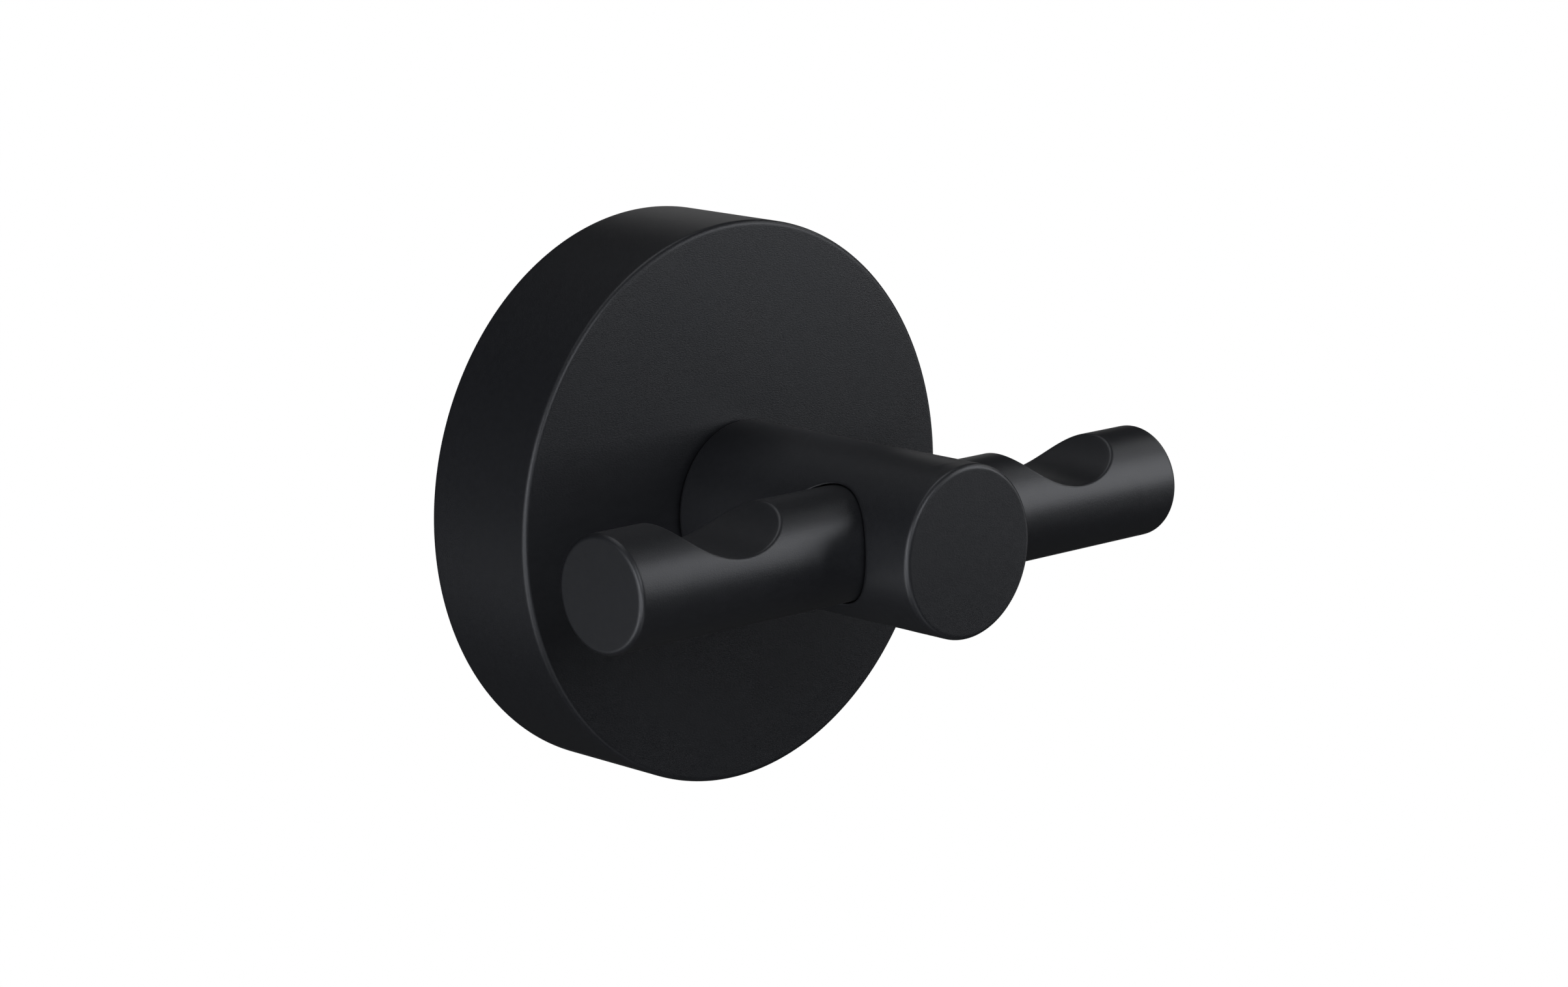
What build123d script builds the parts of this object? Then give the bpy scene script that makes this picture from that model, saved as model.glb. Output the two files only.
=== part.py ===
"""Wall robe hook: a round rose, a short post and a cross-drilled bar with a saddle notch in each arm.

Millimetres. The wall is the plane Y = 0 and the room is on its -Y side, +Z is up and the bar runs along X.
The origin is the centre of the rose on the wall. A name that ends in "out" is a distance from the wall.
"""
from build123d import *
from math import radians, tan
import os

os.makedirs("parts", exist_ok=True)

# rose, a cast cup with its open side to the wall
rose_radius = 25.0
rose_depth = 12.0
rose_front_wall = 3.0
rose_side_wall = 2.5
edge_round = 0.45

# post
post_radius = 7.5
post_length = 27.8
spigot_radius = 4.5
spigot_flats = 7.5
spigot_recess = 0.2
hole_rim_chamfer = 0.25

# crossbar
bar_radius = 5.0
bar_length = 65.0
bar_from_post_end = 10.1
notch_x = 20.5
notch_radius = 7.85
notch_depth = 3.05
notch_rim_chamfer = 0.2
dimple_depth = 1.2

# wall bracket, a cast disc with a bevelled flat above and another below
bracket_thickness = 6.0
bevel_at_wall = 14.8
bevel_at_front = 17.0
bracket_edge_chamfer = 0.4
wall_hole_x = 14.5
wall_hole_radius = 2.25
wall_head_radius = 4.3
wall_head_depth = 2.6

# hook rib and screw boss inside the rose
rib_width = 12.0
boss_width = 9.0
inside_from_wall = 0.6
root_in_wall = 0.7

# screws and washers
m5_radius = 2.5
m4_radius = 2.0
screw_end_chamfer = 0.5
pan_head_radius = 4.75
pan_head_height = 3.7
pan_head_round = 1.5
cross_span = 4.8
cross_width = 1.1
cross_depth = 2.2
cross_taper = 14
washer_radius = 7.5
washer_thickness = 1.2
spring_radius = 4.6
spring_thickness = 1.3
spring_split = 1.0
lock_screw_length = 6.0
lock_socket = 2.5
lock_socket_depth = 2.8
rose_socket = 2.0
rose_socket_depth = 2.4
rose_screw_recess = 0.9
point_behind_bracket_front = 2.6

# fits and rooms
thread_gap = 0.03
screws_apart = 1.4
bore_gap = 0.03
spigot_gap = 0.06
hook_gap = 0.05
point_gap = 0.03
washer_gap = 0.15
spring_gap = 0.1
bracket_room = 2.5
head_room = 3.25
lift_room = 2.5
cut_past = 1.0

post_end_out = rose_depth + post_length
bar_out = post_end_out - bar_from_post_end
inner_face_out = rose_depth - rose_front_wall
cavity_radius = rose_radius - rose_side_wall
spigot_end_out = inner_face_out + spigot_recess
notch_centre_z = bar_radius - notch_depth + notch_radius
bracket_radius = cavity_radius - bracket_room
bevel_slope = (bevel_at_front - bevel_at_wall) / bracket_thickness
washer_out = inner_face_out - washer_thickness
spring_out = washer_out - spring_thickness
lock_tip_out = bar_out - bar_radius + dimple_depth - point_gap
lock_end_out = lock_tip_out - lock_screw_length
post_screw_length = lock_end_out - screws_apart - spring_out


def ease(part, edges, radius):
    """Round off circular edges by three cones that touch the arc of a fillet of the given radius."""
    middle_cone = radius * (1 - tan(radians(22.5)))
    side_cone = radius * (1 - tan(radians(11.25))) - middle_cone
    chamfer(edges, middle_cone)
    chamfer(part.edges(Select.LAST).filter_by(GeomType.CIRCLE), side_cone)


def set_screw(seat, radius, length, socket, socket_depth):
    """A cone-point set screw with its tip on the seat plane and its socket end along the plane's normal."""
    side = Plane(seat.origin, x_dir=seat.x_dir, z_dir=seat.x_dir.cross(seat.z_dir))
    with BuildPart() as screw:
        with BuildSketch(side):
            Polygon(
                (0, 0),
                (radius, radius),
                (radius, length - screw_end_chamfer),
                (radius - screw_end_chamfer, length),
                (0, length),
                align=None,
            )
        revolve(axis=Axis(seat.origin, seat.z_dir))
        with BuildSketch(seat.offset(length)):
            RegularPolygon(socket / 2, 6, major_radius=False)
        extrude(amount=-socket_depth, mode=Mode.SUBTRACT)
    return screw.part


# rose
with BuildPart() as rose:
    with BuildSketch(Plane.XZ):
        Circle(rose_radius)
    extrude(amount=rose_depth)
    ease(rose, rose.faces().sort_by(Axis.Y)[0].edges(), edge_round)
    with BuildSketch(Plane.XZ):
        Circle(cavity_radius)
    extrude(amount=inner_face_out, mode=Mode.SUBTRACT)
    # hook rib at the top, undercut to catch the upper bevel of the bracket
    with BuildSketch(Plane.YZ):
        Polygon(
            (-inside_from_wall, bevel_at_wall + bevel_slope * inside_from_wall + hook_gap),
            (-bracket_thickness, bevel_at_front + hook_gap),
            (-inner_face_out, bevel_at_front + hook_gap),
            (-inner_face_out, cavity_radius + root_in_wall),
            (-inside_from_wall, cavity_radius + root_in_wall),
            align=None,
        )
    extrude(amount=rib_width / 2, both=True)
    # boss at the bottom for the set screw, low enough to lift the rose over the bracket
    with BuildSketch(Plane.YZ):
        Polygon(
            (-inside_from_wall, -bevel_at_front - lift_room),
            (-inner_face_out, -bevel_at_front - lift_room),
            (-inner_face_out, -cavity_radius - root_in_wall),
            (-inside_from_wall, -cavity_radius - root_in_wall),
            align=None,
        )
    extrude(amount=boss_width / 2, both=True)
    rose_screw_out = bracket_thickness - point_behind_bracket_front
    with BuildSketch(Plane.XY.offset(-rose_radius)):
        with Locations((0, -rose_screw_out)):
            Circle(m4_radius + thread_gap)
    extrude(amount=rose_radius - bevel_at_front, mode=Mode.SUBTRACT)
    # double-D hole that keeps the post from turning
    with BuildSketch(Plane.XZ.offset(inner_face_out)):
        Circle(spigot_radius + spigot_gap)
        Rectangle(2 * spigot_radius + cut_past, spigot_flats + 2 * spigot_gap, mode=Mode.INTERSECT)
    extrude(amount=rose_front_wall, mode=Mode.SUBTRACT)
rose.part.label = "rose"
export_step(rose.part, "parts/rose.step")

# post
with BuildPart() as post:
    with BuildSketch(Plane.XZ.offset(rose_depth)):
        Circle(post_radius)
    extrude(amount=post_length)
    # cross-bore for the bar, with an eased rim on each side
    with BuildSketch(Plane.YZ):
        with Locations((-bar_out, 0)):
            Circle(bar_radius + bore_gap)
    extrude(amount=post_radius + cut_past, both=True, mode=Mode.SUBTRACT)
    rims = [e for e in post.edges() if e.geom_type not in (GeomType.CIRCLE, GeomType.LINE)]
    chamfer(rims, hole_rim_chamfer)
    ease(post, post.edges().filter_by(GeomType.CIRCLE), edge_round)
    # spigot with two flats, and the tapped bore from its end into the cross-bore
    with BuildSketch(Plane.XZ.offset(spigot_end_out)):
        Circle(spigot_radius)
        Rectangle(2 * spigot_radius + cut_past, spigot_flats, mode=Mode.INTERSECT)
    extrude(amount=rose_depth - spigot_end_out)
    with BuildSketch(Plane.XZ.offset(spigot_end_out)):
        Circle(m5_radius + thread_gap)
    extrude(amount=bar_out - spigot_end_out, mode=Mode.SUBTRACT)
post.part.label = "post"
export_step(post.part, "parts/post.step")

# crossbar
with BuildPart() as crossbar:
    with BuildSketch(Plane.YZ.offset(-bar_length / 2)):
        with Locations((-bar_out, 0)):
            Circle(bar_radius)
    extrude(amount=bar_length)
    # a round-bottomed saddle across each arm, with its rim eased
    with BuildSketch(Plane.XZ.offset(bar_out - bar_radius - cut_past)):
        with Locations((-notch_x, notch_centre_z), (notch_x, notch_centre_z)):
            Circle(notch_radius)
    extrude(amount=2 * (bar_radius + cut_past), mode=Mode.SUBTRACT)
    saddle_rims = [e for e in crossbar.edges() if e.geom_type not in (GeomType.CIRCLE, GeomType.LINE)]
    chamfer(saddle_rims, notch_rim_chamfer)
    bar_ends = crossbar.faces().sort_by(Axis.X)[0].edges() + crossbar.faces().sort_by(Axis.X)[-1].edges()
    ease(crossbar, bar_ends, edge_round)
    # dimple in the middle of the back for the point of the lock screw
    with BuildSketch(Plane.XY):
        Polygon(
            (0, -bar_out + bar_radius - dimple_depth),
            (dimple_depth + cut_past, -bar_out + bar_radius + cut_past),
            (0, -bar_out + bar_radius + cut_past),
            align=None,
        )
    revolve(axis=Axis.Y, mode=Mode.SUBTRACT)
crossbar.part.label = "crossbar"
export_step(crossbar.part, "parts/crossbar.step")

# wall bracket
with BuildPart() as wall_bracket:
    with BuildSketch(Plane.XZ):
        Circle(bracket_radius)
    extrude(amount=bracket_thickness)
    with BuildSketch(Plane.YZ):
        Polygon(
            (0, bevel_at_wall),
            (0, -bevel_at_wall),
            (-bracket_thickness, -bevel_at_front),
            (-bracket_thickness, bevel_at_front),
            align=None,
        )
    extrude(amount=bracket_radius + cut_past, both=True, mode=Mode.INTERSECT)
    front_arcs = wall_bracket.faces().sort_by(Axis.Y)[0].edges().filter_by(GeomType.CIRCLE)
    chamfer(front_arcs, bracket_edge_chamfer)
    with BuildSketch(Plane.XZ):
        Circle(pan_head_radius + head_room)
        with Locations((-wall_hole_x, 0), (wall_hole_x, 0)):
            Circle(wall_hole_radius)
    extrude(amount=bracket_thickness, mode=Mode.SUBTRACT)
    with BuildSketch(Plane.XZ.offset(bracket_thickness - wall_head_depth)):
        with Locations((-wall_hole_x, 0), (wall_hole_x, 0)):
            Circle(wall_head_radius)
    extrude(amount=wall_head_depth, mode=Mode.SUBTRACT)
wall_bracket.part.label = "wall_bracket"
export_step(wall_bracket.part, "parts/wall_bracket.step")

# set screw in the bottom of the rose, with its point on the lower bevel of the bracket
with BuildPart() as rose_set_screw:
    rose_tip_z = -(bevel_at_wall + bevel_slope * rose_screw_out) - point_gap
    rose_seat = Plane((0, -rose_screw_out, rose_tip_z), x_dir=(1, 0, 0), z_dir=(0, 0, -1))
    rose_screw_length = rose_radius - rose_screw_recess + rose_tip_z
    add(set_screw(rose_seat, m4_radius, rose_screw_length, rose_socket, rose_socket_depth))
rose_set_screw.part.label = "rose_set_screw"
export_step(rose_set_screw.part, "parts/rose_set_screw.step")

# lock screw inside the post, with its point in the dimple of the bar
with BuildPart() as bar_lock_screw:
    lock_seat = Plane((0, -lock_tip_out, 0), x_dir=(1, 0, 0), z_dir=(0, 1, 0))
    add(set_screw(lock_seat, m5_radius, lock_screw_length, lock_socket, lock_socket_depth))
bar_lock_screw.part.label = "bar_lock_screw"
export_step(bar_lock_screw.part, "parts/bar_lock_screw.step")

# plain washer against the inside of the rose
with BuildPart() as post_washer:
    with BuildSketch(Plane.XZ.offset(washer_out)):
        Circle(washer_radius)
        Circle(m5_radius + washer_gap, mode=Mode.SUBTRACT)
    extrude(amount=washer_thickness)
post_washer.part.label = "post_washer"
export_step(post_washer.part, "parts/post_washer.step")

# split spring washer, flattened as it is when tight
with BuildPart() as spring_washer:
    with BuildSketch(Plane.XZ.offset(spring_out)):
        Circle(spring_radius)
        Circle(m5_radius + spring_gap, mode=Mode.SUBTRACT)
    extrude(amount=spring_thickness)
    with BuildSketch(Plane.YZ):
        Polygon(
            (-spring_out, -spring_split),
            (-spring_out, 0),
            (-washer_out, spring_split),
            (-washer_out, 0),
            align=None,
        )
    extrude(amount=spring_radius + cut_past, mode=Mode.SUBTRACT)
spring_washer.part.label = "spring_washer"
export_step(spring_washer.part, "parts/spring_washer.step")

# pan-head screw that draws the post against the rose
with BuildPart() as post_screw:
    with BuildSketch(Plane.XZ.offset(spring_out - pan_head_height)):
        Circle(pan_head_radius)
    extrude(amount=pan_head_height)
    ease(post_screw, post_screw.faces().sort_by(Axis.Y)[-1].edges(), pan_head_round)
    with BuildSketch(Plane.XZ.offset(spring_out)):
        Circle(m5_radius)
    extrude(amount=post_screw_length)
    chamfer(post_screw.faces().sort_by(Axis.Y)[0].edges(), screw_end_chamfer)
    # cross recess that narrows inwards
    with BuildSketch(Plane.XZ.offset(spring_out - pan_head_height)):
        Rectangle(cross_span, cross_width)
        Rectangle(cross_width, cross_span)
    extrude(amount=cross_depth, taper=cross_taper, mode=Mode.SUBTRACT)
post_screw.part.label = "post_screw"
export_step(post_screw.part, "parts/post_screw.step")
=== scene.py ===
"""Looks of a wall robe hook: a round rose, a post, a bar with two saddle notches, and the hidden fixings.

Shapes are worked out in millimetres in the frame of the CAD model, and become metres when their mesh is made.
The wall is the plane Y = 0 and the room is on its -Y side, +Z is up and the bar runs along X.
A name that ends in "out" is a distance from the wall. A sheet is an array of points, rows by columns by 3.
"""
from math import cos, pi, radians, sin, tan

import bmesh
import bpy
import numpy as np
from mathutils import Matrix, Vector


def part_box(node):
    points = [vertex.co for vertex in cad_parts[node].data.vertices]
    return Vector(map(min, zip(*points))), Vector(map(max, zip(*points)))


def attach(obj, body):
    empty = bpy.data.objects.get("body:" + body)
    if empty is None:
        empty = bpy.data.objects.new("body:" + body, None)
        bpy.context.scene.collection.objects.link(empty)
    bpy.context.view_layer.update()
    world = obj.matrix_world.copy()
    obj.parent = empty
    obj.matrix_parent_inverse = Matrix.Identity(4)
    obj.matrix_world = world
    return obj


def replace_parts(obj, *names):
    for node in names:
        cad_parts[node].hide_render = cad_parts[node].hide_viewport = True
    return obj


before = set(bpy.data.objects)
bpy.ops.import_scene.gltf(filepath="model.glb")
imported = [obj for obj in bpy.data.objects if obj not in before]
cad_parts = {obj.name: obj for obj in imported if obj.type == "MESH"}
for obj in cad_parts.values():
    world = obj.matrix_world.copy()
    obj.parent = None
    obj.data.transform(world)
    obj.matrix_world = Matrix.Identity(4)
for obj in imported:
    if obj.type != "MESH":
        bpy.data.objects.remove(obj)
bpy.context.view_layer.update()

MM = 0.001


def box_mm(node):
    """Lowest and highest corner of a CAD node in millimetres, to the nearest hundredth."""
    low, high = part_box(node)
    return np.round(np.array(low) / MM, 2), np.round(np.array(high) / MM, 2)


# sizes read from the frame
rose_low, rose_high = box_mm("rose")
post_low, post_high = box_mm("post")
bar_low, bar_high = box_mm("crossbar")
rose_radius = rose_high[0]
rose_depth = -rose_low[1]
post_radius = post_high[0]
post_end_out = -post_low[1]
spigot_end_out = -post_high[1]
bar_radius = round((bar_high[1] - bar_low[1]) / 2, 1)
bar_half_length = bar_high[0]
bar_out = round(-(bar_high[1] + bar_low[1]) / 2, 2)

# rose
rose_front_wall = 3.0
rose_side_wall = 2.5
edge_round = 0.45
inner_round = 0.5
rear_round = 0.2
spigot_radius = 4.5
spigot_half_flats = 3.75
spigot_gap = 0.06
screw_hole_out = 3.4
screw_hole_radius = 2.03
screw_hole_round = 0.15

# post
bore_radius = 5.08
tapped_radius = 2.53
tapped_half = 4.0
rim_round = 0.4
foot_relief = 0.12
foot_relief_radius = 6.3
under_post_radius = 5.5

# crossbar
notch_x = 20.5
notch_radius = 7.85
notch_depth = 3.05
notch_rim_round = 0.22
dimple_depth = 1.2

# hook rib and screw boss inside the rose, as corners of (out, height) and (aside, out)
inside_out = 0.6
bevel_at_wall = 14.8
bevel_at_front = 17.0
hook_gap = 0.05
rib_half_width = 6.0
boss_half_width = 4.5
boss_z = -19.5
boss_hole_gap = 0.03
boss_hole_flare = 0.2
root_z = 23.2
root_out = 9.3
cast_round = 0.35

# wall bracket
bracket_low, bracket_high = box_mm("wall_bracket")
bracket_radius = bracket_high[0]
bracket_thickness = -bracket_low[1]
bracket_opening = 8.0
bracket_hole_x = 14.5
bracket_hole_radius = 2.25
bracket_head_radius = 4.3
bracket_head_depth = 2.6
bracket_edge = 0.3

# screws and washers
m5 = dict(radius=2.5, pitch=0.8, depth=0.49)
m4 = dict(radius=2.0, pitch=0.7, depth=0.43)
screw_end_chamfer = 0.5
set_screw_low, set_screw_high = box_mm("rose_set_screw")
lock_screw_low, lock_screw_high = box_mm("bar_lock_screw")
washer_low, washer_high = box_mm("post_washer")
spring_low, spring_high = box_mm("spring_washer")
screw_low, screw_high = box_mm("post_screw")
washer_hole = 2.65
washer_round = 0.12
spring_hole = 2.6
spring_round = 0.1
spring_split = 1.0
pan_head_radius = 4.75
pan_head_round = 1.5
pan_head_edge = 0.2
cross_span = 4.8
cross_width = 1.1
cross_depth = 2.0
cross_taper = 14
cross_edge = 0.1
cross_least_width = 0.06
lock_socket = 2.5
lock_socket_depth = 2.8
rose_socket = 2.0
rose_socket_depth = 2.4
socket_flare = 0.12
drill_point = 0.35
point_radius = 0.02

# fineness of the surfaces
quarter_turn = np.linspace(0, pi / 2, 11)
rows_per_pitch = 12
ring_columns = 96
screw_columns = 72
window_closeness = 1.6
guard = 0.12
tiny = 0.01
join_distance = 0.0002
sharp_angle = 35


class Tube:
    """The surface of a round bar or bore: a centre, the directions along it and of angle zero, a radius."""

    def __init__(self, centre, along, zero, radius):
        self.centre = np.array(centre, float)
        self.along = np.array(along, float)
        self.zero = np.array(zero, float)
        self.side = np.cross(self.along, self.zero)
        self.radius = radius

    def points(self, along, angle, radius=None):
        """Points at places along the tube and angles round it, at the tube's own radius or another."""
        radius = self.radius if radius is None else radius
        along, angle, radius = np.broadcast_arrays(along, angle, radius)
        spoke = np.cos(angle)[..., None] * self.zero + np.sin(angle)[..., None] * self.side
        return self.centre + along[..., None] * self.along + radius[..., None] * spoke

    def unroll(self, points):
        """Place along the tube and angle round it of each point."""
        arm = points - self.centre
        return arm @ self.along, np.arctan2(arm @ self.side, arm @ self.zero)

    def outward(self, points):
        """Unit directions straight away from the tube's axis."""
        arm = points - self.centre
        arm = arm - (arm @ self.along)[..., None] * self.along
        return unit(arm)

    def pull(self, points):
        """The points moved straight onto the tube's surface."""
        return self.points(*self.unroll(points))

    def pierced(self, turns, radius, middle=0.0):
        """The rim where a round hole, drilled straight towards the axis, breaks through the tube's surface.

        The place along the tube is the hole's middle plus its radius times the cosine of the turn, and the
        sine of the angle is its radius times the sine of the turn, over the tube's radius.
        """
        return self.points(middle + radius * np.cos(turns), np.arcsin(radius * np.sin(turns) / self.radius))


def unit(arrows):
    """Arrows of length one, in the same directions."""
    return arrows / np.linalg.norm(arrows, axis=-1, keepdims=True)


def along_each(first, second):
    """Dot product of each pair of arrows, kept as a column."""
    return np.sum(first * second, axis=-1, keepdims=True)


def between(first, last, shares):
    """Rows of points at the given shares of the way from each point of one row to its partner in another."""
    shares = np.asarray(shares)[:, None, None]
    return (1 - shares) * first + shares * last


def quarter_round(radius, end, size, way):
    """A quarter circle from the side of a turned piece to its flat end, as (radius, along) points.

    The circle touches the side at the end less its size and the end face at the radius less its size.
    """
    from_end = way * size * (1 - np.sin(quarter_turn))
    return np.stack([radius - size * (1 - np.cos(quarter_turn)), end - from_end], axis=-1)


def closed_end(radius, start, end):
    """Profile of a bar from a place along it to its rounded end and the middle of its end face."""
    side = [(radius, start), (radius, end - edge_round - guard)]
    face = [(radius - edge_round - guard, end), (radius / 2, end), (0, end)]
    return np.concatenate([side, quarter_round(radius, end, edge_round, 1), face])


def turned(tube, profile, angles):
    """Surface of revolution: each (radius, along) point of a profile is carried round the tube's axis."""
    radius, along = np.asarray(profile, float).T
    return tube.points(along[:, None], angles[None, :], radius[:, None])


def loop_turns(steps_round, steps_along):
    """Angles of the points of a closed loop whose quarters face the four sides of a rectangle."""
    quarter = pi / 2
    turns = [-quarter / 2]
    for side, steps in enumerate((steps_round, steps_along, steps_round, steps_along)):
        start = side * quarter - quarter / 2
        turns.extend(start + quarter * np.arange(1, steps + 1) / steps)
    return np.array(turns)


def rectangle(low, high, half_angle, steps_round, steps_along):
    """Points round the edge of an unrolled rectangle, as places along and angles, in step with loop_turns."""
    up = np.linspace(-half_angle, half_angle, steps_round + 1)
    back = np.linspace(high, low, steps_along + 1)
    along = np.concatenate([0 * up + high, back[1:], 0 * up[1:] + low, back[::-1][1:]])
    angle = np.concatenate([up, 0 * back[1:] + half_angle, up[::-1][1:], 0 * back[1:] - half_angle])
    return along, angle


def window(tube, loop, low, high, half_angle, steps_round, steps_along, lines=10):
    """The part of a tube's surface between a closed loop on it and a rectangle of the unrolled surface.

    The rows go from loop to rectangle in straight lines of the unrolled surface, closer near the loop.
    """
    loop_along, loop_angle = tube.unroll(loop)
    edge_along, edge_angle = rectangle(low, high, half_angle, steps_round, steps_along)
    share = (np.linspace(0, 1, lines + 1) ** window_closeness)[:, None]
    along = (1 - share) * loop_along + share * edge_along
    angle = (1 - share) * loop_angle + share * edge_angle
    return tube.points(along, angle)


def eased_rim(rim, tube, bore, size):
    """The rounded edge where a bore breaks out of a tube.

    Each row is a step of a quadratic curve that leaves the tube at the given distance from the rim, is drawn
    towards the rim, and runs into the wall of the bore at the same distance on its other side.
    """
    out = tube.outward(rim)
    into = -bore.outward(rim)
    away = unit(along_each(out, into) * out - into)
    down = unit(along_each(out, into) * into - out)
    start = tube.pull(rim + size * away)
    end = bore.pull(rim + size * down)
    share = np.linspace(0, 1, 7)[:, None, None]
    return (1 - share) ** 2 * start + 2 * share * (1 - share) * rim + share**2 * end


def mirrored(sheets):
    """The same sheets on the other side of the plane X = 0."""
    return [sheet * np.array([-1.0, 1.0, 1.0]) for sheet in sheets]


def outline(corners, radius, steps=4):
    """A closed polygon with rounded corners, and the unit outward direction at each of its points.

    Each corner is an arc from the normal of the edge before it to that of the edge after it. The corners go
    anticlockwise, and an inner corner is an arc on the polygon's outer side.
    """
    corners = np.asarray(corners, float)
    before = unit(corners - np.roll(corners, 1, axis=0))
    after = np.roll(before, -1, axis=0)
    start = np.arctan2(-before[:, 0], before[:, 1])
    sine = before[:, 0] * after[:, 1] - before[:, 1] * after[:, 0]
    swing = np.arctan2(sine, np.sum(before * after, axis=1))
    turn = start[:, None] + swing[:, None] * np.linspace(0, 1, steps + 1)
    normals = np.stack([np.cos(turn), np.sin(turn)], axis=-1)
    middle = start + swing / 2
    bisector = np.stack([np.cos(middle), np.sin(middle)], axis=-1)
    way = np.sign(swing)[:, None]
    centres = corners - way * radius / np.cos(swing / 2)[:, None] * bisector
    points = centres[:, None] + way[:, None] * radius * normals
    points, normals = points.reshape(-1, 2), normals.reshape(-1, 2)
    return np.concatenate([points, points[:1]]), np.concatenate([normals, normals[:1]])


def refined(loop, steps):
    """A closed loop whose straight edges are each cut into the given number of equal steps."""
    finer = np.linspace(0, len(loop) - 1, steps * (len(loop) - 1) + 1)
    return np.stack([np.interp(finer, np.arange(len(loop)), loop[:, k]) for k in (0, 1)], axis=-1)


def prism(place, loop, normals, low, high, size):
    """A closed loop carried straight from low to high, with rounded end edges and flat closed ends.

    Near each end the loop moves inwards along its normals as a quarter circle of the given size. The place
    function turns rows of (first, second, along) into points.
    """
    turn = np.linspace(0, pi / 2, 5)
    inset = size * (1 - np.sin(turn))
    from_end = size * (1 - np.cos(turn))
    inset = np.concatenate([inset, inset[::-1]])[:, None, None]
    along = np.concatenate([low + from_end, high - from_end[::-1]])[:, None]
    rows = loop - inset * normals
    middle = np.broadcast_to(loop[:-1].mean(axis=0), rows[:1].shape)
    rows = np.concatenate([middle, rows, middle])
    along = np.concatenate([along[:1], along, along[-1:]])
    return place(rows[..., 0], rows[..., 1], along + 0 * rows[..., 0])


def piece(name, sheets, coat):
    """One closed piece from sheets that share their edges, joined, turned outwards and shaded smooth."""
    mesh = bpy.data.meshes.new(name)
    points = np.concatenate([sheet.reshape(-1, 3) for sheet in sheets]) * MM
    faces = []
    first = 0
    for sheet in sheets:
        rows, columns = sheet.shape[:2]
        number = first + np.arange(rows * columns).reshape(rows, columns)
        corners = [number[:-1, :-1], number[:-1, 1:], number[1:, 1:], number[1:, :-1]]
        faces.append(np.stack(corners, axis=-1).reshape(-1, 4))
        first += rows * columns
    mesh.from_pydata(points, [], np.concatenate(faces).tolist())
    work = bmesh.new()
    work.from_mesh(mesh)
    bmesh.ops.remove_doubles(work, verts=work.verts, dist=join_distance * MM)
    bmesh.ops.recalc_face_normals(work, faces=work.faces)
    work.to_mesh(mesh)
    work.free()
    mesh.shade_smooth()
    mesh.set_sharp_from_angle(angle=radians(sharp_angle))
    mesh.materials.append(coat)
    thing = bpy.data.objects.new(name, mesh)
    bpy.context.scene.collection.objects.link(thing)
    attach(thing, "root")
    return thing


# rose
def double_d(angle, radius, half_flats):
    """Radius of a circle with two flats at each angle: the smaller of the circle and the line of a flat."""
    return np.minimum(radius, half_flats / np.maximum(np.abs(np.cos(angle)), tiny))


def rose_sheets():
    """A cup turned about Y: side, rounded front edge, front face with a double-D hole, cavity and rear rim.

    A window of the outer side and of the cavity's side, at the bottom, has the hole of the set screw.
    """
    columns = 256
    window_columns = 22
    window_rows = 16
    window_low, window_high = 0.6, 6.2
    outside = Tube((0, 0, 0), (0, -1, 0), (0, 0, -1), rose_radius)
    cavity = Tube((0, 0, 0), (0, -1, 0), (0, 0, -1), rose_radius - rose_side_wall)
    half = pi * window_columns / columns
    angles = np.linspace(half, half + 2 * pi, columns + 1)
    rest = np.linspace(half, 2 * pi - half, columns - window_columns + 1)
    inner_out = rose_depth - rose_front_wall
    hole = double_d(angles, spigot_radius + spigot_gap, spigot_half_flats + spigot_gap)

    side = [(rose_radius, window_high), (rose_radius, rose_depth - edge_round - guard)]
    front_radii = (rose_radius - edge_round - guard, 2 * post_radius, under_post_radius)
    front = [(radius, rose_depth) for radius in front_radii]
    outer = np.concatenate([side, quarter_round(rose_radius, rose_depth, edge_round, 1), front])
    corner = cavity.radius - inner_round
    inner_face = [(under_post_radius, inner_out), (corner - guard, inner_out)]
    inner_corner = quarter_round(cavity.radius, inner_out, inner_round, 1)[::-1]
    inner_side = [(cavity.radius, inner_out - inner_round - guard), (cavity.radius, window_high)]
    inner = np.concatenate([inner_face, inner_corner, inner_side])
    hole_wall = np.stack([outside.points(out, angles, hole) for out in (rose_depth, inner_out)])

    rear_outer = quarter_round(rose_radius, 0.0, rear_round, -1)
    turn = quarter_turn[::-1]
    rear_inner = [cavity.radius, 0] + rear_round * np.stack([1 - np.cos(turn), 1 - np.sin(turn)], axis=-1)
    flat = [(rose_radius - rear_round - guard, 0), (cavity.radius + rear_round + guard, 0)]
    first, last = [(rose_radius, window_low)], [(cavity.radius, window_low)]
    rear = np.concatenate([first, rear_outer, flat, rear_inner, last])

    bands = np.linspace(window_low, window_high, window_rows + 1)[:, None]
    turns = loop_turns(window_columns, window_rows)
    bore = Tube((0, -screw_hole_out, 0), (0, 0, -1), (0, -1, 0), screw_hole_radius)
    hole_size = (screw_hole_radius, screw_hole_out)
    rim = eased_rim(outside.pierced(turns, *hole_size), outside, bore, screw_hole_round)
    inner_rim = cavity.pierced(turns, *hole_size)
    shape = (window_low, window_high, half, window_columns, window_rows)
    front_face = turned(outside, outer, angles)
    inner_face = turned(outside, inner, angles)
    return [
        front_face,
        np.stack([front_face[-1], hole_wall[0]]),
        hole_wall,
        np.stack([hole_wall[1], inner_face[0]]),
        inner_face,
        turned(outside, rear, angles),
        outside.points(bands, rest[None, :]),
        cavity.points(bands, rest[None, :]),
        window(outside, rim[0], *shape),
        rim,
        between(rim[-1], inner_rim, [0, 1]),
        window(cavity, inner_rim, *shape),
    ]


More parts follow.
